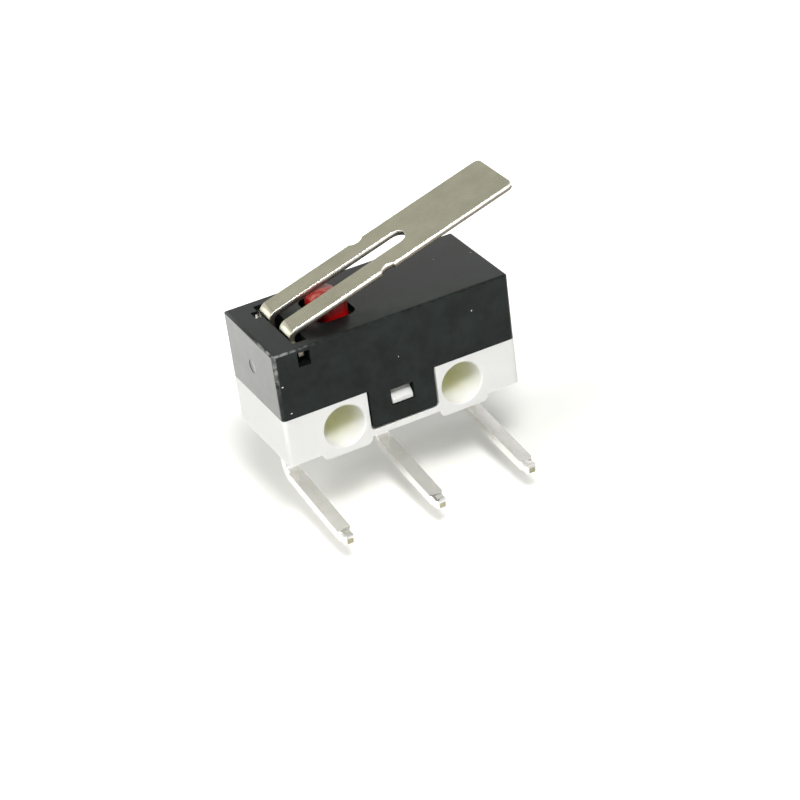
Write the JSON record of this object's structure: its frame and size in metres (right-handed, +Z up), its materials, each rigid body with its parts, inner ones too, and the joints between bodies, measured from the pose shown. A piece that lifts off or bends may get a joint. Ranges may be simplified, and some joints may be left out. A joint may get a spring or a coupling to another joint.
{
  "type": "micro switch",
  "caption": "Small snap-action switch in a two-part case with mounting holes, a hinged slotted lever over a plunger and right-angle terminal pins.",
  "frame": {"origin": "midway between the two mounting holes, on the line that joins their centres at mid depth", "axes": "+X along the case towards the lever's free end, +Y along the mounting holes to the back, +Z up to the lever"},
  "size_m": [0.0142, 0.0088, 0.0137],
  "materials": {
    "white_plastic": "moulded, semi-gloss",
    "black_plastic": "moulded, satin",
    "red_plastic": "moulded, gloss",
    "nickel_steel": "nickel-plated, satin",
    "plated_brass": "silver-plated, bright",
    "spring_copper": "rolled, bright",
    "contact_silver": "silver, bright"
  },
  "bodies": {
    "case": {"base": "white_plastic", "cover": "black_plastic", "com_terminal": "plated_brass", "no_terminal": "plated_brass", "nc_terminal": "plated_brass", "no_contact": "contact_silver", "nc_contact": "contact_silver"},
    "lever": {"lever": "nickel_steel"},
    "plunger": {"plunger": "red_plastic"},
    "contact_arm": {"snap_spring": "spring_copper", "moving_contact": "contact_silver"}
  },
  "joints": [
    {"name": "lever_hinge", "type": "hinge", "parent": "case", "child": "lever", "pos_m": [-0.00482, 0, 0.00455], "axis": [0, 1, 0], "range_deg": [0, 13], "stiffness_Nm_per_rad": 0.02},
    {"name": "plunger_slide", "type": "slide", "parent": "case", "child": "plunger", "axis": [0, 0, -1], "range_m": [0, 0.00058]},
    {"name": "contact_swing", "type": "hinge", "parent": "case", "child": "contact_arm", "pos_m": [-0.00443, 0, 0.003], "axis": [0, 1, 0], "range_deg": [0, 3.15], "deforming": ["snap_spring"]}
  ],
  "couplings": [
    {"joint": "plunger_slide", "follows": "lever_hinge", "m_per_rad": 0.0025},
    {"joint": "contact_swing", "follows": "lever_hinge", "ratio": 0.2385}
  ]
}
